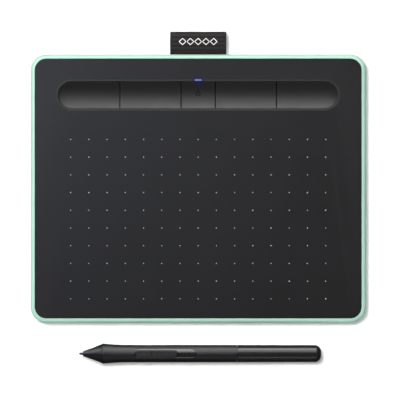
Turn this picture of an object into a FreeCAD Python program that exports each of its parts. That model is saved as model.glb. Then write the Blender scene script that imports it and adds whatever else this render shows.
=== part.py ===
import FreeCAD, Part
import math
import os

# Small pen drawing tablet with its pen lying in front of it. Millimetres, +Z up.
# The frame's origin is the centre of the set's footprint, on the surface that it stands on:
# +X runs along the tablet's long side and +Y points to its rear edge, where the pen loop is.

V = FreeCAD.Vector

# ---- Tablet: driving dimensions ----
TABLET_LENGTH = 200.0
TABLET_WIDTH = 160.0
TABLET_HEIGHT = 8.8
CORNER_R = 9.5
RIM_WIDTH = 2.5

# Heights above the surface, from the feet to the drawing sheet
CASE_BOTTOM = 0.6
CASE_FLOOR = 1.9
BOARD_BOTTOM = 2.6
BOARD_TOP = 3.4
CARRIER_BOTTOM = 4.3
CARRIER_TOP = 4.9
SHIELD_BOTTOM = 6.05
SENSOR_BOTTOM = 6.25
COVER_BOTTOM = 6.9
SHEET_BOTTOM = 8.3
RIM_TOP = 8.6
PANEL_GAP = 0.1

# Pen tray: a pill-shaped trough whose floor is the five keys
TRAY_Y = 55.65
TRAY_HALF = 75.3
TRAY_R = 9.3
BEZEL_INNER_R = 7.95
KEY_R = 7.8
KEY_TOP = 8.15
KEY_BOTTOM = 5.4
TROUGH_DEPTH = 1.8
TROUGH_R = (KEY_R ** 2 + TROUGH_DEPTH ** 2) / (2 * TROUGH_DEPTH)
KEY_SKIN = 0.9
KEY_GAP = 0.6
POWER_EDGE = 10.2
INNER_KEY_EDGE = 46.7
KEY_END = TRAY_HALF + KEY_R + 1.0
PLUNGER_R = 1.3
KEY_DOME_HEIGHT = 0.55
DOME_GAP = 0.02
FLANGE_BOTTOM = 5.65
FLANGE_TOP = 6.2
FLANGE_R = 9.3

# Status light in the rear edge of the tray
LIGHT_Y = 64.7
LIGHT_LENGTH = 3.9
LIGHT_WIDTH = 1.0

# Rear edge: pen loop in the middle, data and charging socket to its right
LOOP_WIDTH = 33.5
LOOP_START = 72.4
LOOP_NECK = 80.2
LOOP_END = 93.7
LOOP_Z = 4.75
RIBBON = 0.9
LOOP_R = 3.8
CLAMP_BOTTOM = LOOP_Z + RIBBON + 0.05
CLAMP_TOP = CLAMP_BOTTOM + 0.6
USB_X = 40.0
USB_Z = 4.75
USB_MOUTH = 78.6

FOOT_X = 88.0
FOOT_Y = 68.0
FOOT_R = 5.5
CARRIER_SCREWS = [(sx * INNER_KEY_EDGE, TRAY_Y + sy * 12.6) for sx in (-1, 1) for sy in (-1, 1)]
CARRIER_SCREWS += [(sx * 89.2, TRAY_Y) for sx in (-1, 1)]
BOARD_SCREWS = [(sx * 72.0, y) for sx in (-1, 1) for y in (33.0, 68.0)]
CLAMP_SCREWS = [(sx * 19.6, 74.8) for sx in (-1, 1)]
CASE_SCREWS = [(sx * FOOT_X, sy * FOOT_Y) for sx in (-1, 1) for sy in (-1, 1)]
THREAD_GAP = 0.02

# ---- Pen: driving dimensions, along its own axis from the nib's tip ----
PEN_LENGTH = 144.3
PEN_TIP_X = -71.0
PEN_Y = -98.5
CONE_FRONT = 2.3
CONE_FRONT_R = 1.55
CONE_MIDDLE = 7.7
CONE_MIDDLE_R = 3.38
CONE_BACK = 12.9
CONE_BACK_R = 5.41
SHOULDER = 14.6
SHOULDER_R = 6.03
WAIST = 28.0
WAIST_R = 5.17
SECTION = 94.1
SECTION_R = 5.12
SLEEVE_END = 141.4
SLEEVE_END_R = 5.04
BARREL_BORE = 4.2
NIB_R = 0.7
NIB_BORE = 0.95
NIB_END = 27.5
PANEL_FROM = 32.8
PANEL_TO = 70.0
PANEL_R = 2.85
PANEL_TOP = 5.35
PANEL_CROWN_R = 4.9
PANEL_CLEARANCE = 0.1
SWITCH_FROM = 33.5
SWITCH_SPLIT = 43.15
SWITCH_TO = 58.6
SWITCH_R = 1.9
SWITCH_TOP = 5.6
SWITCH_GAP = 0.3
SPLIT_GAP = 0.4
PEN_BOARD_TOP = 1.9
PEN_DOME_HEIGHT = 0.45
SPIGOT_R = 3.75
SPIGOT_END = 116.0
SLEEVE_BORE = 3.85
HOLDER_FLOOR = 93.0
HOLDER_BORE = 2.98
SPARE_NIB_PITCH_R = HOLDER_BORE - NIB_R - 0.03

# The pen lies on its shoulder and on the tail's edge, so its axis dips towards the tail.
TILT = math.atan((SHOULDER_R - SLEEVE_END_R) / (SLEEVE_END - SHOULDER))
PEN_TIP_Z = SHOULDER_R * math.cos(TILT) + SHOULDER * math.sin(TILT)

# The tablet's own centre, so that the set of loop, tablet and pen is centred on the origin
TABLET_Y = (SHOULDER_R - PEN_Y - LOOP_END) / 2


# ---- Shapes used more than once ----
def box(x0, x1, y0, y1, z0, z1):
    return Part.makeBox(x1 - x0, y1 - y0, z1 - z0, V(x0, y0, z0))


def block(x, y, length, width, z0, z1):
    return box(x - length / 2, x + length / 2, y - width / 2, y + width / 2, z0, z1)


def rod(x, y, z0, z1, r):
    return Part.makeCylinder(r, z1 - z0, V(x, y, z0))


def rods(places, z0, z1, r):
    return [rod(x, y, z0, z1, r) for x, y in places]


def vertical_edges(shape):
    return [e for e in shape.Edges if abs(e.BoundBox.ZLength - shape.BoundBox.ZLength) < 1e-6]


def edges_at(shape, z):
    return [e for e in shape.Edges if abs(e.BoundBox.ZMin - z) < 1e-6 and abs(e.BoundBox.ZMax - z) < 1e-6]


def slab(length, width, corner, z0, z1, y=0.0, x=0.0):
    """A plate with round corners, centred at (x, y)."""
    plate = block(x, y, length, width, z0, z1)
    return plate.makeFillet(corner, vertical_edges(plate))


def pill(half, r, z0, z1, x=0.0, y=0.0):
    """A prism with a stadium outline: straight for 2 * half along X, round at both ends."""
    outline = Part.Wire([
        Part.LineSegment(V(x - half, y - r, z0), V(x + half, y - r, z0)).toShape(),
        Part.Arc(V(x + half, y - r, z0), V(x + half + r, y, z0), V(x + half, y + r, z0)).toShape(),
        Part.LineSegment(V(x + half, y + r, z0), V(x - half, y + r, z0)).toShape(),
        Part.Arc(V(x - half, y + r, z0), V(x - half - r, y, z0), V(x - half, y - r, z0)).toShape(),
    ])
    return Part.Face(outline).extrude(V(0, 0, z1 - z0))


def profile(place, start, *steps):
    """A closed face. Each step is one point, for a line to it, or two, for an arc through and to."""
    edges = []
    here = start
    for step in steps + ((start,),):
        points = [place(*here)] + [place(*point) for point in step]
        curve = Part.Arc(*points) if len(points) == 3 else Part.LineSegment(*points)
        edges.append(curve.toShape())
        here = step[-1]
    return Part.Face(Part.Wire(edges))


def turned(start, *steps):
    """A solid of revolution about the X axis, from (distance along it, radius) points."""
    face = profile(lambda along, r: V(along, 0, r), start, *steps)
    return face.revolve(V(0, 0, 0), V(1, 0, 0), 360)


def tube(x0, x1, outer, inner):
    return turned((x0, inner), ((x1, inner),), ((x1, outer),), ((x0, outer),))


def fuse(first, *others):
    return first.fuse(list(others)).removeSplitter()


def screws(places, head_from, head_to, shank_to, head_r, shank_r):
    """Identical screws with their heads between the first two heights and their shanks beyond."""
    head = sorted((head_from, head_to))
    shank = sorted((head_to, shank_to))
    return Part.makeCompound([
        fuse(rod(x, y, *head, head_r), rod(x, y, *shank, shank_r)) for x, y in places
    ])


def dome(x, y, z, height, r, thickness=0.12):
    """A pressed metal snap dome that stands on its rim at height z."""
    ball_r = (r ** 2 + height ** 2) / (2 * height)
    ball = Part.makeSphere(ball_r, V(x, y, z + height - ball_r))
    hollow = Part.makeSphere(ball_r - thickness, V(x, y, z + height - ball_r))
    return ball.cut(hollow).common(rod(x, y, z, z + height, r))


# ---- Tablet pieces, about the tablet's own centre ----
def capsule(r):
    """The tool that hollows the trough: a rod along the tray with ball ends of the same radius."""
    z = KEY_TOP - TROUGH_DEPTH + TROUGH_R
    bend = r / math.sqrt(2)
    body = turned(
        (-TRAY_HALF - r, 0),
        ((-TRAY_HALF - bend, bend), (-TRAY_HALF, r)),
        ((TRAY_HALF, r),),
        ((TRAY_HALF + bend, bend), (TRAY_HALF + r, 0)),
    )
    body.translate(V(0, TRAY_Y, z))
    return body


def light_slot(z0, z1, gap):
    return block(0, LIGHT_Y, LIGHT_LENGTH + 2 * gap, LIGHT_WIDTH + 2 * gap, z0, z1)


def make_bottom_case():
    rim_r = 2.3
    base_r = 2.6
    case = slab(TABLET_LENGTH, TABLET_WIDTH, CORNER_R, CASE_BOTTOM, RIM_TOP)
    case = case.makeFillet(rim_r, edges_at(case, RIM_TOP))
    case = case.makeFillet(base_r, edges_at(case, CASE_BOTTOM))
    inner_x = TABLET_LENGTH / 2 - RIM_WIDTH
    inner_y = TABLET_WIDTH / 2 - RIM_WIDTH
    case = case.cut(slab(2 * inner_x, 2 * inner_y, CORNER_R - RIM_WIDTH, CASE_FLOOR, RIM_TOP + 1))

    # Ribs on the walls carry the top cover
    rib_length = 4.0
    rib_width = 1.2
    ribs = []
    for x in (-80, -60, -30, 0, 30, 60, 80):
        ribs.append(block(x, -inner_y, rib_width, rib_length, CASE_FLOOR, COVER_BOTTOM))
    for x in (-80, -60, 60, 80):
        ribs.append(block(x, inner_y, rib_width, rib_length, CASE_FLOOR, COVER_BOTTOM))
    for x in (-inner_x, inner_x):
        for y in (-50, -25, 0, 25, 50):
            ribs.append(block(x, y, rib_length, rib_width, CASE_FLOOR, COVER_BOTTOM))

    # Low walls keep the battery in its place
    for x in (-36.7, 36.7):
        ribs.append(block(x, -5, 1.0, 46, CASE_FLOOR - 0.1, 3.6))
    ribs.append(block(0, -31.7, 66, 1.0, CASE_FLOOR - 0.1, 3.6))

    posts = rods(CASE_SCREWS, CASE_FLOOR - 0.1, 4.0, 3.5)
    posts += rods(BOARD_SCREWS, CASE_FLOOR - 0.1, BOARD_BOTTOM, 2.0)
    posts += rods(CLAMP_SCREWS, CASE_FLOOR - 0.1, CLAMP_BOTTOM, 1.7)
    shelf_half = LOOP_WIDTH / 2 + 0.25
    shelf_top = LOOP_Z - RIBBON - 0.05
    loop_shelf = box(-shelf_half, shelf_half, LOOP_START - 0.2, inner_y + 0.5, CASE_FLOOR - 0.1, shelf_top)
    case = fuse(case, *ribs, *posts, loop_shelf)

    holes = rods(CASE_SCREWS, 0, CASE_BOTTOM + 0.5, FOOT_R + 0.15)
    holes += rods(CASE_SCREWS, 0, 2.4, 2.15)
    holes += rods(CASE_SCREWS, 0, 5, 1.05)
    holes += rods(BOARD_SCREWS, 1.4, 4, 0.7 + THREAD_GAP)
    holes += rods(CLAMP_SCREWS, 2.4, 7, 0.7 + THREAD_GAP)
    loop_slot = block(0, 79.0, 34.0, 4.0, LOOP_Z - 1.1, LOOP_Z + 1.1)
    usb_hole = block(USB_X, 79.0, 8.4, 4.0, USB_Z - 1.7, USB_Z + 1.7)
    usb_edges = [e for e in usb_hole.Edges if e.BoundBox.YLength > 3.9]
    return case.cut([*holes, loop_slot, usb_hole.makeFillet(1.2, usb_edges)])


def panel_plate(z0, z1):
    """A plate of the drawing panel's outline with the tray and the light cut out of it."""
    cut_back = 2 * (RIM_WIDTH + PANEL_GAP)
    plate = slab(TABLET_LENGTH - cut_back, TABLET_WIDTH - cut_back, CORNER_R - cut_back / 2, z0, z1)
    tray = pill(TRAY_HALF, TRAY_R, z0 - 1, z1 + 1, y=TRAY_Y)
    return plate.cut([tray, light_slot(z0 - 1, z1 + 1, 0.05)])


def make_top_cover():
    posts = rods(CASE_SCREWS, 4.0, COVER_BOTTOM + 0.1, 2.5)
    posts += rods(CARRIER_SCREWS, CARRIER_TOP, COVER_BOTTOM + 0.1, 1.8)
    cover = fuse(panel_plate(COVER_BOTTOM, SHEET_BOTTOM), *posts)
    holes = rods(CASE_SCREWS, 3.9, 7.0, 1.0 + THREAD_GAP)
    holes += rods(CARRIER_SCREWS, CARRIER_TOP - 0.1, 6.5, 0.7 + THREAD_GAP)
    return cover.cut(holes)


def make_drawing_sheet():
    sheet = panel_plate(SHEET_BOTTOM, TABLET_HEIGHT)
    half = TABLET_LENGTH / 2 - RIM_WIDTH - PANEL_GAP
    outer = []
    for edge in edges_at(sheet, TABLET_HEIGHT):
        middle = edge.CenterOfMass
        if abs(middle.x) > half - 8 or abs(middle.y) > half - 25:
            outer.append(edge)
    return sheet.makeFillet(0.15, outer)


def make_tray_bezel():
    flange_top = COVER_BOTTOM - 0.05
    bezel_bottom = 6.3
    ring = pill(TRAY_HALF, TRAY_R - 0.05, bezel_bottom, TABLET_HEIGHT, y=TRAY_Y)
    flange = pill(TRAY_HALF, 10.6, bezel_bottom, flange_top, y=TRAY_Y)
    bezel = fuse(ring, flange).cut(pill(TRAY_HALF, BEZEL_INNER_R, 6, 9, y=TRAY_Y))
    inner = []
    for edge in edges_at(bezel, TABLET_HEIGHT):
        reach = max(abs(edge.BoundBox.YMin - TRAY_Y), abs(edge.BoundBox.YMax - TRAY_Y))
        if reach < BEZEL_INNER_R + 0.01:
            inner.append(edge)
    bezel = bezel.makeChamfer(0.6, inner)
    return bezel.cut(light_slot(6, 9, 0.05))


def make_key(x0, x1):
    """One key: a thin dished skin with a skirt, a retaining flange and a plunger under its middle."""
    middle = (x0 + x1) / 2
    length = x1 - x0 - KEY_GAP
    span = block(middle, TRAY_Y, length, 30, 0, 20)
    pocket_span = block(middle, TRAY_Y, length - 2 * KEY_SKIN, 30, 0, 20)
    body = pill(TRAY_HALF, KEY_R, KEY_BOTTOM, KEY_TOP, y=TRAY_Y)
    flange = pill(TRAY_HALF, FLANGE_R, FLANGE_BOTTOM, FLANGE_TOP, y=TRAY_Y)
    body = fuse(body, flange).cut(capsule(TROUGH_R)).common(span)
    pocket = pill(TRAY_HALF, KEY_R - KEY_SKIN, KEY_BOTTOM - 1, KEY_TOP, y=TRAY_Y)
    pocket = pocket.cut(capsule(TROUGH_R + KEY_SKIN)).common(pocket_span)
    plunger_bottom = BOARD_TOP + KEY_DOME_HEIGHT + DOME_GAP
    plunger = rod(key_middle(x0, x1), TRAY_Y, plunger_bottom, KEY_BOTTOM + 0.3, PLUNGER_R)
    return fuse(body.cut(pocket), plunger)


def key_middle(x0, x1):
    """Where the plunger stands: the middle of the part of the key that the hand can press."""
    reach = TRAY_HALF + KEY_R
    return (max(x0, -reach) + min(x1, reach)) / 2


KEYS = {
    "express_key_1": (-KEY_END, -INNER_KEY_EDGE),
    "express_key_2": (-INNER_KEY_EDGE, -POWER_EDGE),
    "power_key": (-POWER_EDGE, POWER_EDGE),
    "express_key_3": (POWER_EDGE, INNER_KEY_EDGE),
    "express_key_4": (INNER_KEY_EDGE, KEY_END),
}


def make_key_carrier():
    plate = pill(81.8, 10.2, CARRIER_BOTTOM, CARRIER_TOP, y=TRAY_Y)
    ears = rods(CARRIER_SCREWS, CARRIER_BOTTOM, CARRIER_TOP, 2.4)
    for x in (-INNER_KEY_EDGE, INNER_KEY_EDGE):
        ears.append(block(x, TRAY_Y, 4.8, 25.2, CARRIER_BOTTOM, CARRIER_TOP))
    carrier = fuse(plate, *ears)
    guides = [rod(key_middle(*span), TRAY_Y, 4, 5, PLUNGER_R + 0.3) for span in KEYS.values()]
    screw_holes = rods(CARRIER_SCREWS, 4, 5, 0.9)
    return carrier.cut([*guides, *screw_holes, light_slot(4, 5, 0.1)])


def make_main_board():
    board = slab(150, 41, 2.0, BOARD_BOTTOM, BOARD_TOP, y=50.5)
    socket_tab = box(USB_X - 6, USB_X + 6, 70, 77.2, BOARD_BOTTOM, BOARD_TOP)
    return fuse(board, socket_tab).cut(rods(BOARD_SCREWS, 2, 4, 0.85))


def make_board_components():
    """Capacitors, coils, a crystal and the charger chip: (x, y, length, width, height)."""
    parts = [
        (18.0, 46.0, 3.2, 2.5, 0.7), (28.0, 35.0, 4.0, 4.0, 1.8), (34.0, 35.0, 3.0, 3.0, 0.8),
        (62.0, 36.0, 3.0, 3.0, 1.2), (24.0, 40.5, 1.6, 0.8, 0.7), (-20.0, 36.0, 4.0, 4.0, 0.9),
        (-42.0, 36.0, 3.2, 1.6, 1.1), (40.0, 69.0, 2.4, 1.4, 0.6),
    ]
    for n in range(6):
        parts.append((10.0 + 3.0 * n, 32.4, 1.0, 0.5, 0.5))
        parts.append((-36.0 + 3.0 * n, 32.4, 1.0, 0.5, 0.5))
    return Part.makeCompound([
        block(x, y, length, width, BOARD_TOP, BOARD_TOP + height) for x, y, length, width, height in parts
    ])


def make_radio_module():
    carrier = box(-70, -52, 31.5, 42, BOARD_TOP, BOARD_TOP + 0.6)
    can = box(-69.4, -58, 32, 41.5, BOARD_TOP + 0.6, BOARD_TOP + 2.1)
    can = can.makeFillet(0.5, vertical_edges(can))
    return fuse(carrier, can)


def make_usb_shell():
    shell = box(USB_X - 3.8, USB_X + 3.8, 73.2, USB_MOUTH, BOARD_TOP, 6.1)
    along = [e for e in shell.Edges if e.BoundBox.YLength > 5]
    shell = shell.makeFillet(0.7, along)
    hollow = box(USB_X - 3.5, USB_X + 3.5, 73.5, 79.0, BOARD_TOP + 0.3, 5.8)
    along = [e for e in hollow.Edges if e.BoundBox.YLength > 5]
    return shell.cut(hollow.makeFillet(0.45, along))


def make_usb_tongue():
    block = box(USB_X - 3.0, USB_X + 3.0, 73.5, 74.6, 4.2, 5.3)
    tongue = box(USB_X - 1.85, USB_X + 1.85, 74.5, 78.0, 4.5, 5.0)
    return fuse(block, tongue)


def make_battery():
    cell = box(-35, 35, -30, 20, 2.0, 5.6)
    along = [e for e in cell.Edges if e.BoundBox.XLength > 60 or e.BoundBox.YLength > 40]
    return cell.makeFillet(1.4, along)


def make_battery_leads():
    """Two insulated wires from the cell to its connector, with a step up onto the board."""
    leads = []
    for x in (-6.0, -4.0):
        low, high = 3.2, 4.2
        route = Part.Wire([
            Part.LineSegment(V(x, 20.05, low), V(x, 23, low)).toShape(),
            Part.Arc(V(x, 23, low), V(x, 24.49, low + 0.134), V(x, 25.5, low + 0.5)).toShape(),
            Part.Arc(V(x, 25.5, low + 0.5), V(x, 26.51, high - 0.134), V(x, 28, high)).toShape(),
            Part.LineSegment(V(x, 28, high), V(x, 31.3, high)).toShape(),
        ])
        ring = Part.Wire([Part.Circle(V(x, 20.05, low), V(0, 1, 0), 0.5).toShape()])
        leads.append(route.makePipeShell([ring], True, True))
    return Part.makeCompound(leads)


def make_sensor_flex():
    """A flat cable that folds back from the main board's socket to the sensor board's."""
    low, high, thick = 3.9, 5.65, 0.15
    fold_y = 29.0
    middle = (low + high) / 2
    outer_r = (high - low + thick) / 2
    inner_r = outer_r - thick
    z = middle + thick / 2
    face = profile(
        lambda y, height: V(44, y, height),
        (35.2, z - outer_r),
        ((fold_y, z - outer_r),),
        ((fold_y - outer_r, z), (fold_y, z + outer_r)),
        ((33.2, z + outer_r),),
        ((33.2, z + inner_r),),
        ((fold_y, z + inner_r),),
        ((fold_y - inner_r, z), (fold_y, z - inner_r)),
        ((35.2, z - inner_r),),
    )
    return face.extrude(V(12, 0, 0))


def make_flex_sockets():
    on_main = box(43, 57, 35.2, 38.2, BOARD_TOP, BOARD_TOP + 1.0)
    on_sensor = box(43, 57, 33.2, 36.2, 5.3, SENSOR_BOTTOM)
    return Part.makeCompound([on_main, on_sensor])


def make_sensor_board():
    return slab(168, 108, 3.0, SENSOR_BOTTOM, COVER_BOTTOM - 0.05, y=-18)


def make_sensor_shield():
    shield = slab(166, 106, 3.0, SHIELD_BOTTOM, SENSOR_BOTTOM, y=-18)
    return shield.cut(box(42.5, 57.5, 32.7, 36.7, 5, 7))


def make_pen_loop():
    """A ribbon folded into a flat loop, with both of its ends led through the rear wall."""
    centre = LOOP_END - LOOP_R
    inner_r = LOOP_R - RIBBON
    angle = math.asin((LOOP_R - RIBBON) / (centre - LOOP_NECK))
    rise, run = math.cos(angle), math.sin(angle)
    inner_neck = centre - inner_r / math.sin(angle)

    def place(y, z):
        return V(-LOOP_WIDTH / 2, y, LOOP_Z + z)

    outer = profile(
        place,
        (LOOP_START, -RIBBON),
        ((LOOP_NECK, -RIBBON),),
        ((centre - LOOP_R * run, -LOOP_R * rise),),
        ((LOOP_END, 0), (centre - LOOP_R * run, LOOP_R * rise)),
        ((LOOP_NECK, RIBBON),),
        ((LOOP_START, RIBBON),),
    )
    inner = profile(
        place,
        (inner_neck, 0),
        ((centre - inner_r * run, -inner_r * rise),),
        ((centre + inner_r, 0), (centre - inner_r * run, inner_r * rise)),
    )
    return outer.cut(inner).extrude(V(LOOP_WIDTH, 0, 0))


def make_clamp_bar():
    bar = slab(45, 4.8, 1.5, CLAMP_BOTTOM, CLAMP_TOP, y=74.8)
    return bar.cut(rods(CLAMP_SCREWS, 5, 7, 0.85))


def make_foot(x, y):
    foot = rod(x, y, 0, CASE_BOTTOM + 0.5, FOOT_R)
    return foot.makeFillet(0.35, edges_at(foot, 0))


def make_light_pipe():
    pipe = light_slot(4.1, TABLET_HEIGHT, 0)
    return pipe.makeFillet(0.3, vertical_edges(pipe))


def tablet_pieces():
    pieces = {
        "bottom_case": make_bottom_case(),
        "top_cover": make_top_cover(),
        "drawing_sheet": make_drawing_sheet(),
        "tray_bezel": make_tray_bezel(),
        "key_carrier": make_key_carrier(),
        "status_light_pipe": make_light_pipe(),
        "status_led": block(0, LIGHT_Y, 1.6, 0.8, BOARD_TOP, BOARD_TOP + 0.5),
        "main_board": make_main_board(),
        "controller_chip": box(14.5, 21.5, 33.8, 40.8, BOARD_TOP, BOARD_TOP + 0.9),
        "board_components": make_board_components(),
        "radio_module": make_radio_module(),
        "usb_shell": make_usb_shell(),
        "usb_tongue": make_usb_tongue(),
        "battery_cell": make_battery(),
        "battery_leads": make_battery_leads(),
        "battery_connector": box(-8, -2, 31.3, 34.6, BOARD_TOP, BOARD_TOP + 1.6),
        "sensor_board": make_sensor_board(),
        "sensor_shield": make_sensor_shield(),
        "sensor_flex": make_sensor_flex(),
        "flex_sockets": make_flex_sockets(),
        "pen_loop": make_pen_loop(),
        "loop_clamp_bar": make_clamp_bar(),
        "case_screws": screws(CASE_SCREWS, 1.2, 2.4, 6.4, 2.0, 1.0),
        "board_screws": screws(BOARD_SCREWS, 4.1, BOARD_TOP, 1.5, 1.5, 0.7),
        "carrier_screws": screws(CARRIER_SCREWS, 3.75, CARRIER_BOTTOM, 6.4, 1.4, 0.7),
        "loop_clamp_screws": screws(CLAMP_SCREWS, 6.85, CLAMP_TOP, 2.6, 1.5, 0.7),
    }
    for row, y in (("front", -FOOT_Y), ("rear", FOOT_Y)):
        for side, x in (("left", -FOOT_X), ("right", FOOT_X)):
            pieces[f"foot_{row}_{side}"] = make_foot(x, y)
    for name, span in KEYS.items():
        pieces[name] = make_key(*span)
        snap_dome = dome(key_middle(*span), TRAY_Y, BOARD_TOP, KEY_DOME_HEIGHT, 2.5)
        pieces[name.replace("key", "dome")] = snap_dome
    pieces["power_key"] = pieces["power_key"].cut(light_slot(KEY_BOTTOM - 1, TABLET_HEIGHT, 0.2))
    return pieces


# ---- Pen pieces, about the pen's own axis: X from the nib's tip to the tail, Z up ----
def make_nib():
    return turned(
        (0, 0),
        ((NIB_R * 0.3, NIB_R * 0.714), (NIB_R, NIB_R)),
        ((NIB_END, NIB_R),),
        ((NIB_END, 0),),
    )


def make_nose_cone():
    spigot_r = BARREL_BORE - 0.05
    return turned(
        (CONE_FRONT, NIB_BORE),
        ((CONE_FRONT, CONE_FRONT_R - 0.2),),
        ((CONE_FRONT + 0.06, CONE_FRONT_R - 0.06), (CONE_FRONT + 0.2, CONE_FRONT_R)),
        ((CONE_MIDDLE, CONE_MIDDLE_R), (CONE_BACK, CONE_BACK_R)),
        ((CONE_BACK, spigot_r),),
        ((CONE_BACK + 3.1, spigot_r),),
        ((CONE_BACK + 3.1, 3.4),),
        ((CONE_BACK - 1.0, 3.4),),
        ((6.5, 1.5),),
        ((5.5, NIB_BORE),),
    )


def make_grip_barrel():
    joint = CONE_BACK + 0.05
    barrel = turned(
        (joint, BARREL_BORE),
        ((joint, CONE_BACK_R + 0.02),),
        ((SHOULDER - 0.45, SHOULDER_R - 0.1),),
        ((SHOULDER, SHOULDER_R), (SHOULDER + 0.45, SHOULDER_R - 0.1)),
        ((19.5, 5.52), (WAIST, WAIST_R)),
        ((SECTION, SECTION_R),),
        ((SECTION, BARREL_BORE),),
    )
    half = (PANEL_TO - PANEL_FROM) / 2 - PANEL_R
    window = pill(half, PANEL_R, 0, 7, x=(PANEL_FROM + PANEL_TO) / 2)
    return barrel.cut(window)


def switch_pill(grow, z0, z1):
    r = SWITCH_R + grow
    half = (SWITCH_TO - SWITCH_FROM) / 2 - SWITCH_R
    return pill(half, r, z0, z1, x=(SWITCH_FROM + SWITCH_TO) / 2)


def make_switch_panel():
    """The raised frame round the switches: its top is crowned like the barrel's."""
    middle = (PANEL_FROM + PANEL_TO) / 2
    half = (PANEL_TO - PANEL_FROM) / 2 - PANEL_R
    panel = pill(half, PANEL_R - PANEL_CLEARANCE, 3.9, PANEL_TOP, x=middle)
    crown_z = PANEL_TOP - PANEL_CROWN_R
    crown = Part.makeCylinder(PANEL_CROWN_R, 60, V(20, 0, crown_z), V(1, 0, 0))
    panel = panel.common(crown)
    top_face = max(panel.Faces, key=face_height)
    panel = panel.makeFillet(0.12, top_face.Edges)
    return panel.cut(switch_pill(SWITCH_GAP, 3, 6))


def face_height(face):
    return face.CenterOfMass.z


def make_switch(x0, x1, plunger_x):
    """One switch cap: a button with rounded edges, a wider foot under the panel and a plunger."""
    span = box(x0, x1, -4, 4, 3, 6)
    cap = switch_pill(0, 3.6, SWITCH_TOP).common(span)
    cap = cap.makeFillet(0.3, edges_at(cap, SWITCH_TOP))
    foot = switch_pill(0.45, 3.25, 3.7).common(span)
    plunger = rod(plunger_x, 0, PEN_BOARD_TOP + PEN_DOME_HEIGHT + DOME_GAP, 3.4, 0.9)
    return fuse(cap, foot, plunger)


def make_pen_chassis():
    cradle = tube(32.0, 90.0, BARREL_BORE - 0.1, 3.2)
    cradle = cradle.cut(box(30, 92, -5, 5, 1.2, 5))
    end_wall = tube(88.5, 90.0, BARREL_BORE - 0.1, 1.0).cut(box(80, 92, -5, 5, 1.2, 5))
    return fuse(cradle, end_wall)


def make_nib_holder():
    """A cup in the barrel's rear end whose neck carries the tail sleeve and stores three nibs."""
    return turned(
        (90.2, 0),
        ((90.2, BARREL_BORE - 0.02),),
        ((SECTION, BARREL_BORE - 0.02),),
        ((SECTION, SPIGOT_R),),
        ((SPIGOT_END - 0.3, SPIGOT_R),),
        ((SPIGOT_END, SPIGOT_R - 0.3),),
        ((SPIGOT_END, HOLDER_BORE),),
        ((HOLDER_FLOOR, HOLDER_BORE),),
        ((HOLDER_FLOOR, 0),),
    )


def make_nib_spacer():
    """The soft core that presses the spare nibs against the cup's wall."""
    core_r = SPARE_NIB_PITCH_R - NIB_R - 0.02
    return turned(
        (HOLDER_FLOOR + 0.1, 0),
        ((HOLDER_FLOOR + 0.1, core_r),),
        ((SPIGOT_END - 3.5, core_r),),
        ((SPIGOT_END - 3.0, core_r - 0.5),),
        ((SPIGOT_END - 3.0, 0),),
    )


def make_spare_nibs():
    end = SPIGOT_END + 1.9
    nibs = []
    for n in range(3):
        angle = math.radians(90 + 120 * n)
        y, z = SPARE_NIB_PITCH_R * math.cos(angle), SPARE_NIB_PITCH_R * math.sin(angle)
        start = V(HOLDER_FLOOR + 0.1, y, z)
        nib = Part.makeCylinder(NIB_R, end - start.x, start, V(1, 0, 0))
        nibs.append(nib.makeFillet(0.5, [e for e in nib.Edges if e.BoundBox.XMin > end - 0.1]))
    return Part.makeCompound(nibs)


def make_tail_sleeve():
    joint = SECTION + 0.15
    return turned(
        (joint, SLEEVE_BORE),
        ((joint, SECTION_R - 0.15),),
        ((joint + 0.15, SECTION_R - 0.02),),
        ((SLEEVE_END, SLEEVE_END_R),),
        ((SLEEVE_END, SLEEVE_BORE),),
    )


def make_end_plug():
    return turned(
        (SLEEVE_END - 3.0, 0),
        ((SLEEVE_END - 3.0, SLEEVE_BORE - 0.02),),
        ((SLEEVE_END + 0.05, SLEEVE_BORE - 0.02),),
        ((SLEEVE_END + 0.05, SLEEVE_END_R - 0.05),),
        ((PEN_LENGTH - 0.95, 3.75), (PEN_LENGTH, 1.2)),
        ((PEN_LENGTH, 0),),
    )


def pen_pieces():
    front_plunger = (SWITCH_FROM + SWITCH_SPLIT) / 2
    rear_plunger = (SWITCH_SPLIT + SWITCH_TO) / 2
    return {
        "pen_nib": make_nib(),
        "pen_nose_cone": make_nose_cone(),
        "pen_grip_barrel": make_grip_barrel(),
        "switch_panel": make_switch_panel(),
        "front_switch": make_switch(SWITCH_FROM - 1, SWITCH_SPLIT - SPLIT_GAP / 2, front_plunger),
        "rear_switch": make_switch(SWITCH_SPLIT + SPLIT_GAP / 2, SWITCH_TO + 1, rear_plunger),
        "switch_dome_front": dome(front_plunger, 0, PEN_BOARD_TOP, PEN_DOME_HEIGHT, 1.6),
        "switch_dome_rear": dome(rear_plunger, 0, PEN_BOARD_TOP, PEN_DOME_HEIGHT, 1.6),
        "pen_board": box(32.5, 86.0, -3.0, 3.0, PEN_BOARD_TOP - 0.7, PEN_BOARD_TOP),
        "coil_core": tube(14.5, 26.0, 2.0, NIB_BORE),
        "coil_winding": tube(15.2, 25.3, 3.1, 2.02),
        "pressure_sensor": tube(26.1, 30.0, 4.1, NIB_BORE).fuse(tube(30.0, 31.8, 4.1, 0.0)),
        "pen_chassis": make_pen_chassis(),
        "nib_holder": make_nib_holder(),
        "nib_spacer": make_nib_spacer(),
        "spare_nibs": make_spare_nibs(),
        "pen_tail_sleeve": make_tail_sleeve(),
        "pen_end_plug": make_end_plug(),
    }


def on_surface(shape):
    """Lay a pen piece down: dip the tail, then put the nib's tip in its place."""
    placed = shape.copy()
    placed.rotate(V(0, 0, 0), V(0, 1, 0), math.degrees(TILT))
    placed.translate(V(PEN_TIP_X, TABLET_Y + PEN_Y, PEN_TIP_Z))
    return placed


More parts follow.
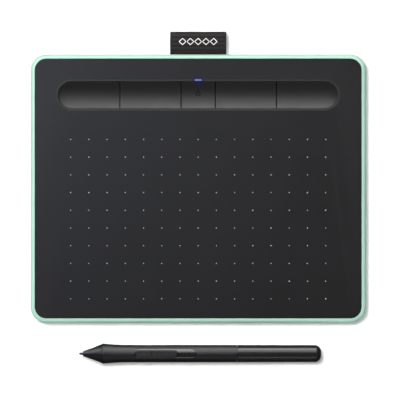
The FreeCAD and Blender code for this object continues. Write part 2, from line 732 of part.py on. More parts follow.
def export(name, shape):
    shape.exportStep(f"parts/{name}.step")
    size = shape.BoundBox
    state = f"valid {shape.isValid()}, {len(shape.Solids)} solids, {shape.Volume:.2f} mm3"
    print(f"{name}: {state}, {size.XLength:.2f} x {size.YLength:.2f} x {size.ZLength:.2f} mm")


os.makedirs("parts", exist_ok=True)
for piece_name, piece in tablet_pieces().items():
    piece.translate(V(0, TABLET_Y, 0))
    export(piece_name, piece)
for piece_name, piece in pen_pieces().items():
    export(piece_name, on_surface(piece))
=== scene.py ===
import math

import bmesh
import bpy
import numpy as np
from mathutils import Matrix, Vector
from mathutils.bvhtree import BVHTree


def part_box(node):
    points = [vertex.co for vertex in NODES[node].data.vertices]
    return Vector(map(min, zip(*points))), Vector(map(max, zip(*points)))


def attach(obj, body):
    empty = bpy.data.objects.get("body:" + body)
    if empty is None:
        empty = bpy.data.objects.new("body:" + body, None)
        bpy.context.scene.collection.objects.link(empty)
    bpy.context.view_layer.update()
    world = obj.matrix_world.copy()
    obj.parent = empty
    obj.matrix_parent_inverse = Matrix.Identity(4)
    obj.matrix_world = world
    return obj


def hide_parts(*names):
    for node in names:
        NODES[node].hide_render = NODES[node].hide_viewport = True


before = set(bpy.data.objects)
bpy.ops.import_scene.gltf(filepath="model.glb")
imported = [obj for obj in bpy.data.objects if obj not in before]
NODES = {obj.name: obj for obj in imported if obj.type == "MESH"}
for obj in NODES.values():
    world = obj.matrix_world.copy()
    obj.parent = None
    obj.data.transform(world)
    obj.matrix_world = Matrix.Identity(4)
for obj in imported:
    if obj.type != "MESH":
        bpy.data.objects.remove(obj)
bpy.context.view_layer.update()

MM = 0.001

# ---- Places read from the frame ----
CASE_LOW, CASE_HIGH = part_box("bottom_case")
SHEET_LOW, SHEET_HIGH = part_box("drawing_sheet")
LOOP_LOW, LOOP_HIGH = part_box("pen_loop")
LIGHT_LOW, LIGHT_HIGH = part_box("status_light_pipe")
PANEL_LOW, PANEL_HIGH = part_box("switch_panel")
REAR_SWITCH_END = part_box("rear_switch")[1].x
POWER_LOW, POWER_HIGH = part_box("power_key")
CASE_MIDDLE = (CASE_LOW + CASE_HIGH) / 2
LIGHT_MIDDLE = (LIGHT_LOW + LIGHT_HIGH) / 2
EXPRESS_KEYS = [f"express_key_{n}" for n in range(1, 5)]
EXPRESS_DOMES = [f"express_dome_{n}" for n in range(1, 5)]
FEET = [f"foot_{row}_{side}" for row in ("front", "rear") for side in ("left", "right")]

# ---- Sizes of what is added here ----
# The dots mark the active area, whose middle is ACTIVE_BACK from the sheet's middle.
DOT_COLUMNS = 15
DOT_ROWS = 10
ACTIVE_LENGTH = 152 * MM
ACTIVE_WIDTH = 95 * MM
ACTIVE_BACK = -18.25 * MM
DOT_R = 0.27 * MM
DOT_SIDES = 14
PRINT_HEIGHT = 0.012 * MM

# Rays that look for a node's surface start this high, above every node.
RAY_START = 50 * MM

# The power symbol's ring starts and sweeps in degrees, and leaves a gap for its bar.
SYMBOL_R = 1.25 * MM
SYMBOL_BACK = 1.0 * MM
SYMBOL_STROKE = 0.42 * MM
SYMBOL_BAR = 2.9 * MM
SYMBOL_START = 125
SYMBOL_SWEEP = 290
SYMBOL_STEPS = 28
BAR_STEPS = 6

# The pen loop's ribbon: its thickness, its cross ribs, and its edges as shares of half its width.
RIBBON = 0.9 * MM
RIB_PITCH = 0.85 * MM
RIB_HEIGHT = 0.16 * MM
RIBS_PER_BAND = 3
RIBBON_STEP = 0.085 * MM
EDGE_SHARE = 0.04
SELVEDGE = 0.10 * MM
SELVEDGE_AT = 0.955
SELVEDGE_SPREAD = 0.018
RIPPLE = 0.04 * MM
RIPPLE_LENGTH = 9 * MM
RIPPLE_SKEW = 1.7
BROWN_FROM = 1.6 * MM
BROWN_TO = 2.2 * MM

# The status light's glow, painted on the parts round it as emission and a darker, bluer base colour.
GLOW_REACH = (4.4 * MM, 3.5 * MM, 20 * MM)
GLOW_COLOUR = (0.01, 0.06, 1.0)
GLOW_STRENGTH = 0.10
GLOW_PAINTED_BASE = (0.0, 0.0, 0.004)

# The stitched lozenges on the loop.
MOTIF_COUNT = 5
MOTIF_BACK = 7.6 * MM
MOTIF_LENGTH = 23.2 * MM
MOTIF_HALF_WIDTH = 2.2 * MM
MOTIF_STROKE = 0.72 * MM
STITCH_PITCH = 0.23 * MM
STITCH_R = 0.12 * MM

# The grip ribs, between the rear switch and the panel's end.
GRIP_RIBS = 6
GRIP_RIB_R = 0.27 * MM
GRIP_RIB_HALF = 1.35 * MM
GRIP_RIB_LIFT = 0.02 * MM
FROM_SWITCH = 1.6 * MM
FROM_PANEL_END = 1.9 * MM

# The camera looks straight down, from far enough to show no perspective.
VIEW_WIDTH = 238.4 * MM
VIEW_X = 1.1 * MM
VIEW_BACK = -6.85 * MM
CAMERA_HEIGHT = 2.6
SENSOR = 36.0

# The floor's own light grows from near to far over FLOOR_FADE. All distances are in metres.
FLOOR_GREY = 0.86
FLOOR_FADE = 1.5
FLOOR_GLOW_NEAR = 0.16
FLOOR_GLOW_FAR = 0.74
BACKDROP_R = 6.0
WORLD_LIGHT = 0.30


# ---- Materials ----
class Finish:
    """A procedural material: fixed values on the shader's own sockets, textures for the rest."""

    def __init__(self, name, colour, roughness, **fixed):
        self.material = bpy.data.materials.new(name)
        self.material.use_nodes = True
        self.tree = self.material.node_tree
        self.shader = self.tree.nodes["Principled BSDF"]
        self.set("Base Color", (*colour, 1.0))
        self.set("Roughness", roughness)
        self.colour = colour
        self.roughness = roughness
        for socket, value in fixed.items():
            self.set(socket.replace("_", " ").title().replace("Ior", "IOR"), value)
        self.coordinates = self.tree.nodes.new("ShaderNodeTexCoord").outputs["Object"]
        self.normal = None

    def set(self, socket, value):
        self.shader.inputs[socket].default_value = value

    def node(self, kind, **settings):
        made = self.tree.nodes.new(kind)
        for name, value in settings.items():
            setattr(made, name, value)
        return made

    def link(self, output, socket):
        self.tree.links.new(output, socket)

    def stretched(self, scale):
        mapping = self.node("ShaderNodeMapping")
        mapping.inputs["Scale"].default_value = scale
        self.link(self.coordinates, mapping.inputs["Vector"])
        return mapping.outputs["Vector"]

    def noise(self, size, detail=2.0, stretch=(1, 1, 1)):
        """Noise whose features are about size metres across."""
        texture = self.node("ShaderNodeTexNoise")
        texture.inputs["Scale"].default_value = 1 / size
        texture.inputs["Detail"].default_value = detail
        self.link(self.stretched(stretch), texture.inputs["Vector"])
        return texture.outputs["Fac"]

    def waves(self, size, direction, distortion=0.0):
        """Bands that repeat every size metres along direction."""
        texture = self.node("ShaderNodeTexWave", wave_type="BANDS", bands_direction=direction)
        texture.inputs["Scale"].default_value = math.pi / 10 / size
        texture.inputs["Distortion"].default_value = distortion
        self.link(self.coordinates, texture.inputs["Vector"])
        return texture.outputs["Fac"]

    def along_y(self):
        separate = self.node("ShaderNodeSeparateXYZ")
        self.link(self.coordinates, separate.inputs[0])
        return separate.outputs["Y"]

    def span(self, factor, low, high, start=0.3, stop=0.7):
        """Maps factor's start to stop onto low to high."""
        mapped = self.node("ShaderNodeMapRange")
        for name, value in (("From Min", start), ("From Max", stop), ("To Min", low), ("To Max", high)):
            mapped.inputs[name].default_value = value
        self.link(factor, mapped.inputs["Value"])
        return mapped.outputs["Result"]

    def blend(self, factor, first, second):
        mix = self.node("ShaderNodeMix", data_type="RGBA")
        self.link(factor, mix.inputs[0])
        for socket, colour in ((mix.inputs[6], first), (mix.inputs[7], second)):
            if isinstance(colour, tuple):
                socket.default_value = (*colour, 1.0)
            else:
                self.link(colour, socket)
        return mix.outputs[2]

    def vary_colour(self, factor, spread):
        """The base colour, darker and lighter by spread as factor goes from 0 to 1."""
        darker = tuple(c * (1 - spread) for c in self.colour)
        lighter = tuple(min(1.0, c * (1 + spread)) for c in self.colour)
        return self.use_colour(self.blend(self.span(factor, 0, 1), darker, lighter))

    def use_colour(self, colour):
        self.link(colour, self.shader.inputs["Base Color"])
        return colour

    def vary_roughness(self, factor, spread):
        low, high = self.roughness - spread, min(1.0, self.roughness + spread)
        self.link(self.span(factor, low, high), self.shader.inputs["Roughness"])

    def round_edges(self, radius):
        """Shades sharp edges as if they were rounded to that radius."""
        bevel = self.node("ShaderNodeBevel", samples=4)
        bevel.inputs["Radius"].default_value = radius
        self.normal = bevel.outputs["Normal"]
        self.link(self.normal, self.shader.inputs["Normal"])

    def bump(self, height, depth, strength=1.0):
        made = self.node("ShaderNodeBump")
        made.inputs["Distance"].default_value = depth
        made.inputs["Strength"].default_value = strength
        self.link(height, made.inputs["Height"])
        if self.normal:
            self.link(self.normal, made.inputs["Normal"])
        self.normal = made.outputs["Normal"]
        self.link(self.normal, self.shader.inputs["Normal"])

    def worn_edge(self, radius, colour, amount):
        """Mixes colour in where the surface turns sharply within radius."""
        bevel = self.node("ShaderNodeBevel", samples=4)
        bevel.inputs["Radius"].default_value = radius
        geometry = self.node("ShaderNodeNewGeometry")
        facing = self.node("ShaderNodeVectorMath", operation="DOT_PRODUCT")
        self.link(bevel.outputs["Normal"], facing.inputs[0])
        self.link(geometry.outputs["Normal"], facing.inputs[1])
        mask = self.span(facing.outputs["Value"], amount, 0.0, 0.80, 0.985)
        socket = self.shader.inputs["Base Color"]
        below = socket.links[0].from_socket if socket.is_linked else self.colour
        self.use_colour(self.blend(mask, below, colour))

    def glow_near_light(self):
        """Painted light: the status light's spill on the surface round it, painted as emission and a
        darker, bluer base colour, which fades out at GLOW_REACH.
        """
        mapping = self.node("ShaderNodeMapping", vector_type="TEXTURE")
        mapping.inputs["Location"].default_value = LIGHT_MIDDLE
        mapping.inputs["Scale"].default_value = GLOW_REACH
        self.link(self.coordinates, mapping.inputs["Vector"])
        falloff = self.node("ShaderNodeTexGradient", gradient_type="SPHERICAL")
        self.link(mapping.outputs["Vector"], falloff.inputs["Vector"])
        self.set("Emission Color", (*GLOW_COLOUR, 1.0))
        # Painted light: under the painted glow the base colour turns darker and bluer.
        below = self.shader.inputs["Base Color"].links[0].from_socket
        self.use_colour(self.blend(falloff.outputs["Fac"], below, GLOW_PAINTED_BASE))
        power = self.node("ShaderNodeMath", operation="MULTIPLY")
        self.link(falloff.outputs["Fac"], power.inputs[0])
        power.inputs[1].default_value = GLOW_STRENGTH
        self.link(power.outputs[0], self.shader.inputs["Emission Strength"])


def case_plastic():
    finish = Finish("case_mint", (0.36, 0.585, 0.475), 0.42, specular_ior_level=0.45)
    finish.vary_colour(finish.noise(18 * MM, 3), 0.015)
    finish.worn_edge(0.5 * MM, (0.46, 0.68, 0.58), 0.2)
    finish.vary_roughness(finish.noise(4 * MM, 4), 0.05)
    finish.bump(finish.noise(0.25 * MM, 3), 0.006 * MM)
    return finish


def sheet_plastic():
    finish = Finish("sheet_black", (0.0082, 0.0081, 0.0083), 0.43, specular_ior_level=0.38)
    grain = finish.noise(0.16 * MM, 4)
    finish.round_edges(0.12 * MM)
    finish.vary_colour(grain, 0.22)
    finish.vary_roughness(finish.noise(14 * MM, 3), 0.035)
    finish.bump(grain, 0.012 * MM)
    finish.bump(finish.noise(0.7 * MM, 2), 0.01 * MM, 0.5)
    finish.glow_near_light()
    return finish


def key_plastic(name, glowing):
    finish = Finish(name, (0.0080, 0.0077, 0.0077), 0.48, specular_ior_level=0.57)
    finish.round_edges(0.08 * MM)
    finish.vary_colour(finish.noise(0.5 * MM, 3), 0.06)
    finish.vary_roughness(finish.noise(7 * MM, 4), 0.05)
    finish.bump(finish.noise(0.22 * MM, 2), 0.002 * MM)
    if glowing:
        finish.glow_near_light()
    return finish


def bezel_plastic():
    # Its base is lighter than the sheet's: partly a lighter frame, partly a painted highlight for the
    # light line along the tray's lip.
    finish = Finish("bezel_black", (0.021, 0.020, 0.020), 0.45, specular_ior_level=0.35)
    finish.round_edges(0.08 * MM)
    finish.vary_colour(finish.noise(0.5 * MM, 3), 0.06)
    finish.vary_roughness(finish.noise(3 * MM, 3), 0.05)
    finish.bump(finish.noise(0.2 * MM, 2), 0.002 * MM)
    finish.glow_near_light()
    return finish


def print_ink(name, level, specular):
    finish = Finish(name, (level, level, level * 1.03), 0.5, specular_ior_level=specular)
    finish.vary_colour(finish.noise(0.1 * MM, 2), 0.15)
    return finish


def light_plastic():
    finish = Finish("light_clear", (0.02, 0.025, 0.05), 0.35)
    finish.set("Emission Color", (0.50, 0.58, 1.0, 1.0))
    glow = finish.noise(0.8 * MM, 1)
    finish.link(finish.span(glow, 0.24, 0.34), finish.shader.inputs["Emission Strength"])
    return finish


def grip_coating():
    finish = Finish("pen_soft_black", (0.0062, 0.0062, 0.0065), 0.48, specular_ior_level=0.62)
    finish.round_edges(0.1 * MM)
    finish.vary_colour(finish.noise(0.35 * MM, 4), 0.10)
    finish.vary_roughness(finish.noise(5 * MM, 4), 0.04)
    finish.bump(finish.noise(0.12 * MM, 3), 0.004 * MM)
    return finish


def pen_plastic(name, level, roughness, specular=0.55, grain=0.003):
    finish = Finish(name, (level, level, level * 1.04), roughness, specular_ior_level=specular)
    finish.round_edges(0.1 * MM)
    finish.vary_colour(finish.noise(1.2 * MM, 3), 0.06)
    finish.vary_roughness(finish.noise(4 * MM, 4), 0.04)
    finish.bump(finish.noise(0.2 * MM, 3), grain * MM)
    return finish


def moulding(name, colour, roughness=0.5):
    finish = Finish(name, colour, roughness)
    finish.vary_colour(finish.noise(6 * MM, 3), 0.08)
    finish.vary_roughness(finish.noise(2 * MM, 3), 0.06)
    finish.bump(finish.noise(0.3 * MM, 2), 0.004 * MM)
    return finish


def metal(name, colour, roughness, stretch=(1, 12, 1)):
    finish = Finish(name, colour, roughness, metallic=1.0)
    brushed = finish.noise(0.8 * MM, 4, stretch)
    finish.vary_colour(brushed, 0.06)
    finish.vary_roughness(brushed, 0.08)
    finish.bump(brushed, 0.003 * MM)
    return finish


def solder_mask():
    finish = Finish("board_green", (0.015, 0.11, 0.04), 0.32)
    tracks = finish.waves(1.3 * MM, "X", 3.0)
    mask = finish.span(tracks, 0, 1, 0.45, 0.55)
    finish.use_colour(finish.blend(mask, (0.012, 0.09, 0.032), (0.02, 0.14, 0.05)))
    finish.bump(tracks, 0.01 * MM, 0.5)
    return finish


def foot_rubber():
    finish = Finish("foot_rubber", (0.028, 0.028, 0.029), 0.78)
    finish.vary_colour(finish.noise(0.6 * MM, 4), 0.15)
    finish.bump(finish.noise(0.3 * MM, 3), 0.015 * MM)
    return finish


def ribbon_weave():
    finish = Finish("loop_fabric", (0.022, 0.020, 0.020), 0.85, specular_ior_level=0.2)
    finish.set("Sheen Weight", 0.06)
    finish.set("Sheen Roughness", 0.5)
    finish.set("Sheen Tint", (0.75, 0.72, 0.72, 1.0))
    threads = finish.waves(0.28 * MM, "X", 0.6)
    fuzz = finish.noise(0.15 * MM, 3, (1, 0.4, 1))
    worn = finish.vary_colour(finish.noise(0.5 * MM, 4, (0.25, 1, 1)), 0.18)
    # Every third rib is woven darker, and a narrow band by the case is brown.
    bands = finish.span(finish.waves(RIB_PITCH * RIBS_PER_BAND, "Y"), 0, 0.75, 0.25, 0.75)
    banded = finish.use_colour(finish.blend(bands, worn, (0.008, 0.0075, 0.0075)))
    by_case = finish.span(finish.along_y(), 1, 0, CASE_HIGH.y + BROWN_FROM, CASE_HIGH.y + BROWN_TO)
    finish.use_colour(finish.blend(by_case, banded, (0.020, 0.011, 0.011)))
    finish.bump(threads, 0.05 * MM, 0.6)
    finish.bump(fuzz, 0.03 * MM, 0.5)
    return finish


def motif_thread():
    finish = Finish("motif_thread", (0.78, 0.77, 0.75), 0.6)
    finish.set("Sheen Weight", 0.2)
    finish.vary_colour(finish.noise(0.2 * MM, 2), 0.06)
    finish.bump(finish.noise(0.05 * MM, 2, (1, 4, 1)), 0.01 * MM)
    return finish


def paint(finish, *names):
    for name in names:
        mesh = NODES[name].data
        mesh.materials.clear()
        mesh.materials.append(finish.material)


def paint_tablet():
    steel = metal("plated_steel", (0.62, 0.61, 0.58), 0.32)
    paint(case_plastic(), "bottom_case")
    paint(sheet_plastic(), "drawing_sheet")
    paint(bezel_plastic(), "tray_bezel")
    paint(key_plastic("power_key_grey", True), "power_key")
    paint(key_plastic("key_grey", False), *EXPRESS_KEYS)
    paint(light_plastic(), "status_light_pipe")
    paint(moulding("cover_deep_black", (0.003, 0.003, 0.0032), 0.7), "top_cover", "key_carrier")
    paint(solder_mask(), "main_board", "sensor_board", "pen_board")
    black_chip = moulding("chip_black", (0.01, 0.01, 0.011), 0.4)
    paint(black_chip, "controller_chip", "board_components", "usb_tongue")
    ivory = moulding("connector_ivory", (0.75, 0.70, 0.58))
    paint(ivory, "battery_connector", "flex_sockets", "status_led")
    paint(steel, "radio_module", "usb_shell", "sensor_shield", "loop_clamp_bar")
    paint(steel, "switch_dome_front", "switch_dome_rear", "power_dome", *EXPRESS_DOMES)
    dark_steel = metal("screw_steel", (0.16, 0.16, 0.165), 0.4)
    paint(dark_steel, "case_screws", "board_screws", "carrier_screws", "loop_clamp_screws")
    paint(metal("battery_foil", (0.7, 0.71, 0.73), 0.28, (1, 1, 1)), "battery_cell")
    paint(moulding("lead_insulation", (0.45, 0.02, 0.015), 0.45), "battery_leads")
    paint(moulding("flex_amber", (0.42, 0.16, 0.02), 0.3), "sensor_flex")
    paint(foot_rubber(), "nib_spacer", *FEET)


def paint_pen():
    paint(moulding("cover_black", (0.018, 0.018, 0.019)), "pen_chassis")
    paint(grip_coating(), "pen_grip_barrel")
    paint(pen_plastic("pen_cone_black", 0.0050, 0.34, 0.95), "pen_nose_cone", "nib_holder")
    paint(pen_plastic("pen_plug_black", 0.010, 0.42), "pen_end_plug")
    paint(pen_plastic("pen_tail_grey", 0.0125, 0.22, 0.6, 0.0012), "pen_tail_sleeve")
    paint(pen_plastic("panel_black", 0.0095, 0.20, 1.0), "switch_panel")
    paint(pen_plastic("switch_black", 0.018, 0.32), "front_switch", "rear_switch")
    paint(moulding("nib_black", (0.012, 0.012, 0.012), 0.5), "pen_nib", "spare_nibs")
    paint(moulding("ferrite", (0.05, 0.045, 0.045), 0.5), "coil_core")
    paint(metal("coil_copper", (0.65, 0.26, 0.1), 0.35, (30, 1, 1)), "coil_winding")
    paint(moulding("sensor_black", (0.02, 0.02, 0.022)), "pressure_sensor")


# ---- Mesh helpers ----
def add_piece(name, vertices, faces, finish, body, smooth=True):
    mesh = bpy.data.meshes.new(name)
    mesh.from_pydata([tuple(v) for v in vertices], [], faces)
    mesh.validate()
    for polygon in mesh.polygons:
        polygon.use_smooth = smooth
    mesh.materials.append(finish.material)
    piece = bpy.data.objects.new(name, mesh)
    bpy.context.scene.collection.objects.link(piece)
    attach(piece, body)
    return piece


class Mesh:
    """Vertices and faces collected from many small shapes."""

    def __init__(self):
        self.vertices = []
        self.faces = []

    def add(self, vertices, faces):
        start = len(self.vertices)
        self.vertices.extend(Vector(v) for v in vertices)
        self.faces.extend([tuple(start + i for i in face) for face in faces])

    def prism(self, outline, base, top):
        """A closed plate between two lists of points that go the same way round."""
        count = len(outline)
        lower = [base(*point) for point in outline]
        upper = [top(*point) for point in outline]
        faces = [tuple(range(count, 2 * count)), tuple(reversed(range(count)))]
        for i in range(count):
            j = (i + 1) % count
            faces.append((i, j, count + j, count + i))
        self.add(lower + upper, faces)

    def capsule(self, start, end, radius, up, around=8, along=4):
        """A rounded stitch from start to end, half sunk in the surface whose normal is up."""
        axis = (end - start).normalized()
        side = axis.cross(up).normalized()
        rings = []
        for k in range(along + 1):
            t = k / along
            swell = math.sqrt(max(0.05, 1 - (2 * t - 1) ** 4))
            centre = start.lerp(end, t)
            ring = []
            for n in range(around):
                angle = 2 * math.pi * n / around
                ring.append(centre + (side * math.cos(angle) + up * math.sin(angle)) * radius * swell)
            rings.append(ring)
        faces = []
        for k in range(along):
            for n in range(around):
                m = (n + 1) % around
                near, far = k * around, (k + 1) * around
                faces.append((near + n, near + m, far + m, far + n))
        faces.append(tuple(reversed(range(around))))
        faces.append(tuple(along * around + n for n in range(around)))
        self.add([v for ring in rings for v in ring], faces)


def surface_under(node):
    """A function that gives the height of a node's top surface at (x, y)."""
    mesh = bmesh.new()
    mesh.from_mesh(NODES[node].data)
    tree = BVHTree.FromBMesh(mesh)
    mesh.free()

    def height(x, y):
        above = Vector((x, y, RAY_START))
        return tree.ray_cast(above, Vector((0, 0, -1)))[0].z

    return height


# ---- Printed dots of the active area ----
def make_dot_grid():
    top = SHEET_HIGH.z
    middle_y = (SHEET_LOW.y + SHEET_HIGH.y) / 2 + ACTIVE_BACK
    angles = [2 * math.pi * n / DOT_SIDES for n in range(DOT_SIDES)]
    grid = Mesh()
    for column in range(DOT_COLUMNS):
        x = (column / (DOT_COLUMNS - 1) - 0.5) * ACTIVE_LENGTH
        for row in range(DOT_ROWS):
            y = middle_y + (row / (DOT_ROWS - 1) - 0.5) * ACTIVE_WIDTH
            circle = [(x + DOT_R * math.cos(a), y + DOT_R * math.sin(a)) for a in angles]
            grid.prism(circle, lambda u, v: (u, v, top), lambda u, v: (u, v, top + PRINT_HEIGHT))
    ink = print_ink("dot_ink", 0.68, 0.5)
    add_piece("dot_grid", grid.vertices, grid.faces, ink, "tablet", smooth=False)


# ---- Power symbol printed on the power key: a broken ring with a bar ----
def make_power_symbol():
    height = surface_under("power_key")
    centre_x = (POWER_LOW.x + POWER_HIGH.x) / 2
    centre_y = (POWER_LOW.y + POWER_HIGH.y) / 2 + SYMBOL_BACK
    half = SYMBOL_STROKE / 2
    symbol = Mesh()

    def strip(points):
        """A thin printed stroke along pairs of left and right points."""
        for (a, b), (c, d) in zip(points, points[1:]):
            symbol.prism(
                [a, b, d, c],
                lambda u, v: (u, v, height(u, v)),
                lambda u, v: (u, v, height(u, v) + PRINT_HEIGHT),
            )

    ring = []
    for n in range(SYMBOL_STEPS + 1):
        angle = math.radians(SYMBOL_START + SYMBOL_SWEEP * n / SYMBOL_STEPS)
        ring.append([
            (centre_x + r * math.cos(angle), centre_y + r * math.sin(angle))
            for r in (SYMBOL_R - half, SYMBOL_R + half)
        ])
    strip(ring)
    bar = []
    for n in range(BAR_STEPS + 1):
        y = centre_y + SYMBOL_BAR * n / BAR_STEPS
        bar.append([(centre_x + half, y), (centre_x - half, y)])
    strip(bar)
    ink = print_ink("symbol_ink", 0.002, 0.08)
    add_piece(
        "power_symbol", symbol.vertices, symbol.faces, ink, "power_key", smooth=False
    )


# ---- Pen loop: one ribbon, folded back on itself, with both ends led into the case ----
class RibbonLine:
    """The ribbon's middle line in the YZ plane: (y, z) and its normal at a distance along it."""

    def __init__(self):
        middle_z = (LOOP_LOW.z + LOOP_HIGH.z) / 2
        radius = (LOOP_HIGH.z - LOOP_LOW.z) / 2 - RIBBON / 2 - RIB_HEIGHT
        centre_y = LOOP_HIGH.y - RIBBON / 2 - RIB_HEIGHT - radius
        neck_y = CASE_HIGH.y + 0.2 * MM
        half = RIBBON / 2 + 0.04 * MM
        upper = [(LOOP_LOW.y, half), (neck_y - 3 * MM, half), (neck_y - 0.8 * MM, half)]
        # From the wall the top layer rises in a soft S, then runs nearly level to the fold.
        for along, rise in ((0.06, 0.20), (0.22, 0.52), (0.45, 0.80), (0.70, 0.95), (0.92, 1.0)):
            upper.append((neck_y + along * (centre_y - neck_y), half + rise * (radius - half)))
        for degrees in (75, 50, 25):
            angle = math.radians(degrees)
            upper.append((centre_y + radius * math.cos(angle), radius * math.sin(angle)))
        lower = [(y, -z) for y, z in reversed(upper)]
        profile = upper + [(centre_y + radius, 0)] + lower
        self.points = self.smooth([(y, middle_z + z) for y, z in profile])
        steps = np.linalg.norm(np.diff(self.points, axis=0), axis=1)
        self.distances = np.concatenate([[0], np.cumsum(steps)])
        self.length = self.distances[-1]

    @staticmethod
    def smooth(points, per_span=24):
        """A Catmull-Rom curve through the points."""
        p = np.array([points[0], *points, points[-1]])
        t = np.linspace(0, 1, per_span, endpoint=False)[:, None]
        out = []
        for a, b, c, d in zip(p, p[1:], p[2:], p[3:]):
            second = (2 * a - 5 * b + 4 * c - d) * t ** 2
            third = (3 * b - a - 3 * c + d) * t ** 3
            out.append(0.5 * (2 * b + (c - a) * t + second + third))
        return np.vstack([*out, p[-1:]])

    def at(self, distance):
        y, z = (np.interp(distance, self.distances, self.points[:, k]) for k in (0, 1))
        step = 0.1 * MM
        ahead = [np.interp(distance + step, self.distances, self.points[:, k]) for k in (0, 1)]
        behind = [np.interp(distance - step, self.distances, self.points[:, k]) for k in (0, 1)]
        dy, dz = ahead[0] - behind[0], ahead[1] - behind[1]
        size = math.hypot(dy, dz)
        return y, z, -dz / size, dy / size

    def point(self, x, distance, lift):
        """lift is measured from the middle line, outwards."""
        y, z, normal_y, normal_z = self.at(distance)
        return Vector((x, y + normal_y * lift, z + normal_z * lift))


def rib_lift(distance):
    """Cross ribs, with every third one standing a little lower."""
    rib = 0.5 + 0.5 * math.cos(2 * math.pi * distance / RIB_PITCH)
    band = 0.75 + 0.25 * math.cos(2 * math.pi * distance / RIB_PITCH / RIBS_PER_BAND)
    return RIB_HEIGHT * rib * band


def make_loop(line):
    half_width = (LOOP_HIGH.x - LOOP_LOW.x) / 2
    samples = int(line.length / RIBBON_STEP)
    # Across the ribbon: fine steps at both selvedges, where it thins and rolls over.
    columns = [-1, -0.985, -0.96, -0.93, *np.linspace(-0.88, 0.88, 15), 0.93, 0.96, 0.985, 1]
    vertices = []
    for side in (1, -1):
        for n in range(samples + 1):
            distance = line.length * n / samples
            for c in columns:
                edge = min(1.0, (1 - abs(c)) / EDGE_SHARE)
                selvedge = SELVEDGE * math.exp(-((abs(c) - SELVEDGE_AT) / SELVEDGE_SPREAD) ** 2)
                phase = distance / RIPPLE_LENGTH + RIPPLE_SKEW * c
                ripple = RIPPLE * math.sin(2 * math.pi * phase)
                body_lift = (RIBBON / 2 - 0.06 * MM) * math.sqrt(edge * (2 - edge))
                lift = side * (body_lift + (rib_lift(distance) + selvedge) * edge) + ripple
                vertices.append(line.point(c * half_width, distance, lift))
    width = len(columns)
    layer = width * (samples + 1)
    faces = []
    for n in range(samples):
        for k in range(width - 1):
            a = n * width + k
            b = a + 1
            c, d = b + width, a + width
            faces.append((a, d, c, b))
            faces.append((layer + a, layer + b, layer + c, layer + d))
        for k in (0, width - 1):
            a, d = n * width + k, (n + 1) * width + k
            around = (a, layer + a, layer + d, d)
            faces.append(around if k == 0 else tuple(reversed(around)))
    for k in range(width - 1):
        first, last = k, samples * width + k
        faces.append((first, first + 1, layer + first + 1, layer + first))
        faces.append((last + 1, last, layer + last, layer + last + 1))
    loop = add_piece("woven_loop", vertices, faces, ribbon_weave(), "tablet")
    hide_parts("pen_loop")
    return loop


def make_loop_motif(line):
    """A row of plain lozenge outlines in satin stitch across the loop's upper layer."""
    # The row's middle line is MOTIF_BACK behind the case, on the layer that faces up.
    row_y = CASE_HIGH.y + MOTIF_BACK
    middle = next(d for d in np.arange(0, line.length, 0.05 * MM) if line.at(d)[0] > row_y)
    half_length = MOTIF_LENGTH / MOTIF_COUNT / 2
    surface = RIBBON / 2 + 0.02 * MM
    stitches = Mesh()
    for n in range(MOTIF_COUNT):
        centre_x = (n - (MOTIF_COUNT - 1) / 2) * 2 * half_length
        corners = [(-1, 0), (0, 1), (1, 0), (0, -1)]
        reach_x, reach_s = half_length - MOTIF_STROKE * 0.35, MOTIF_HALF_WIDTH - MOTIF_STROKE / 2
        for (a, b), (c, d) in zip(corners, corners[1:] + corners[:1]):
            start = Vector((centre_x + a * reach_x, middle + b * reach_s))
            end = Vector((centre_x + c * reach_x, middle + d * reach_s))
            across = Vector((0, MOTIF_STROKE / 2))
            count = int((end - start).length / STITCH_PITCH)
            for k in range(count):
                place = start.lerp(end, (k + 0.5) / count)
                low, high = place - across, place + across
                up = Vector((0, *line.at(place.y)[2:]))
                stitches.capsule(
                    line.point(low.x, low.y, surface), line.point(high.x, high.y, surface), STITCH_R, up
                )
    return add_piece(
        "loop_motif", stitches.vertices, stitches.faces, motif_thread(), "tablet"
    )


# ---- Fine grip ribs moulded behind the side switches ----
def make_panel_ribs():
    height = surface_under("switch_panel")
    first = REAR_SWITCH_END + FROM_SWITCH
    last = PANEL_HIGH.x - FROM_PANEL_END
    middle_y = (PANEL_LOW.y + PANEL_HIGH.y) / 2
    ribs = Mesh()
    for n in range(GRIP_RIBS):
        t = n / (GRIP_RIBS - 1)
        x = first + (last - first) * n / (GRIP_RIBS - 1)
        half = GRIP_RIB_HALF * math.sqrt(1 - (0.55 * (2 * t - 1)) ** 4)
        start, end = (
            Vector((x, y, height(x, y) + GRIP_RIB_LIFT)) for y in (middle_y - half, middle_y + half)
        )
        ribs.capsule(start, end, GRIP_RIB_R, Vector((0, 0, 1)), around=12, along=10)
    finish = pen_plastic("rib_black", 0.013, 0.34, 0.7)
    add_piece("panel_ribs", ribs.vertices, ribs.faces, finish, "pen")


# ---- Studio ----
def make_floor():
    bpy.ops.mesh.primitive_plane_add(size=2 * BACKDROP_R, location=(0, 0, -0.02 * MM))
    floor = bpy.context.object
    floor.name = "studio_floor"
    finish = Finish("floor_white", (FLOOR_GREY,) * 3, 0.9, specular_ior_level=0.0)
    finish.vary_colour(finish.noise(0.4, 2), 0.004)
    finish.set("Emission Color", (1, 1, 1, 1))
    # The key light fades away from the tablet, and the floor's own light makes up for it.
    falloff = finish.node("ShaderNodeTexGradient", gradient_type="SPHERICAL")
    finish.link(finish.stretched((1 / FLOOR_FADE,) * 3), falloff.inputs["Vector"])
    strength = finish.span(falloff.outputs["Fac"], FLOOR_GLOW_FAR, FLOOR_GLOW_NEAR, 0.1, 0.86)
    finish.link(strength, finish.shader.inputs["Emission Strength"])
    floor.data.materials.append(finish.material)
    floor.visible_glossy = False


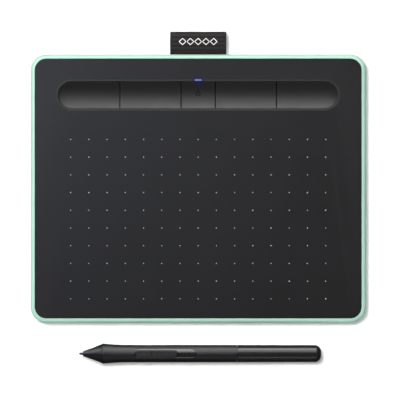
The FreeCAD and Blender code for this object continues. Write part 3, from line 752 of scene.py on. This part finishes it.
def make_backdrop():
    """A pale wall all round, far off, that only low views see."""
    bpy.ops.mesh.primitive_cylinder_add(
        vertices=96,
        radius=BACKDROP_R,
        depth=BACKDROP_R,
        end_fill_type="NOTHING",
        location=(0, 0, BACKDROP_R / 2),
    )
    wall = bpy.context.object
    wall.name = "studio_backdrop"
    finish = Finish("backdrop_white", (0.0, 0.0, 0.0), 1.0, specular_ior_level=0.0)
    finish.set("Emission Color", (1, 1, 1, 1))
    finish.set("Emission Strength", 1.0)
    wall.data.materials.append(finish.material)
    wall.visible_diffuse = False
    wall.visible_glossy = False
    wall.visible_shadow = False


def add_softbox(name, place, size, radiance, seen_in, colour=(1, 1, 1), kept_off=()):
    """An area light aimed at the tablet. It is seen in diffuse light or in reflections only, and
    it is flagged off the nodes in kept_off."""
    light = bpy.data.lights.new(name, "AREA")
    light.shape = "RECTANGLE"
    light.size, light.size_y = size
    light.energy = radiance * math.pi * size[0] * size[1]
    light.color = colour
    lamp = bpy.data.objects.new(name, light)
    lamp.location = place
    lamp.rotation_euler = (CASE_MIDDLE - Vector(place)).to_track_quat("-Z", "Y").to_euler()
    lamp.visible_diffuse = seen_in == "diffuse"
    lamp.visible_glossy = seen_in == "reflections"
    bpy.context.scene.collection.objects.link(lamp)
    if kept_off:
        flag = bpy.data.collections.new(f"{name}_flag")
        for node in kept_off:
            flag.objects.link(NODES[node])
        for member in flag.collection_objects:
            member.light_linking.link_state = "EXCLUDE"
        lamp.light_linking.receiver_collection = flag


def make_studio():
    scene = bpy.context.scene
    scene.view_settings.view_transform = "Standard"
    scene.view_settings.look = "None"
    world = bpy.data.worlds.new("studio")
    scene.world = world
    world.use_nodes = True
    background = world.node_tree.nodes["Background"]
    background.inputs["Color"].default_value = (1, 1, 1, 1)
    background.inputs["Strength"].default_value = WORLD_LIGHT
    world.cycles_visibility.glossy = False
    # Key: overhead, a little to the rear left. It gives the short soft shadows.
    add_softbox("overhead_key", (-0.29, 0.29, 1.25), (0.5, 0.5), 27, "diffuse")
    # Reflections only. The panel's cool sheen is kept off the keys, and the low boxes behind are
    # kept off the sheet, so that it stays black in low views.
    cool = (0.67, 0.72, 1.0)
    keys = ["power_key", *EXPRESS_KEYS]
    sheet = ["drawing_sheet"]
    add_softbox("sheen_box", (-0.30, 0.15, 0.52), (0.18, 0.18), 13, "reflections", cool, keys)
    add_softbox("rear_top", (0.10, 0.64, 1.02), (1.6, 0.62), 2.3, "reflections")
    add_softbox("rear_strip", (0.0, 1.0, 0.52), (1.3, 0.60), 5.3, "reflections", kept_off=sheet)
    add_softbox("rear_left", (-1.00, 0.70, 0.42), (0.5, 0.3), 5.0, "reflections", kept_off=sheet)
    add_softbox("front_strip", (0.0, -0.95, 0.60), (1.6, 0.2), 1.2, "reflections")


def make_camera():
    data = bpy.data.cameras.new("top_camera")
    data.type = "PERSP"
    data.sensor_width = SENSOR
    data.lens = SENSOR * CAMERA_HEIGHT / VIEW_WIDTH
    camera = bpy.data.objects.new("top_camera", data)
    camera.location = (VIEW_X, CASE_MIDDLE.y + VIEW_BACK, SHEET_HIGH.z + CAMERA_HEIGHT)
    bpy.context.scene.collection.objects.link(camera)
    bpy.context.scene.camera = camera


paint_tablet()
paint_pen()
make_dot_grid()
make_power_symbol()
ribbon_line = RibbonLine()
pen_loop = make_loop(ribbon_line)
loop_motif = make_loop_motif(ribbon_line)
make_panel_ribs()
make_floor()
make_backdrop()
make_studio()
make_camera()
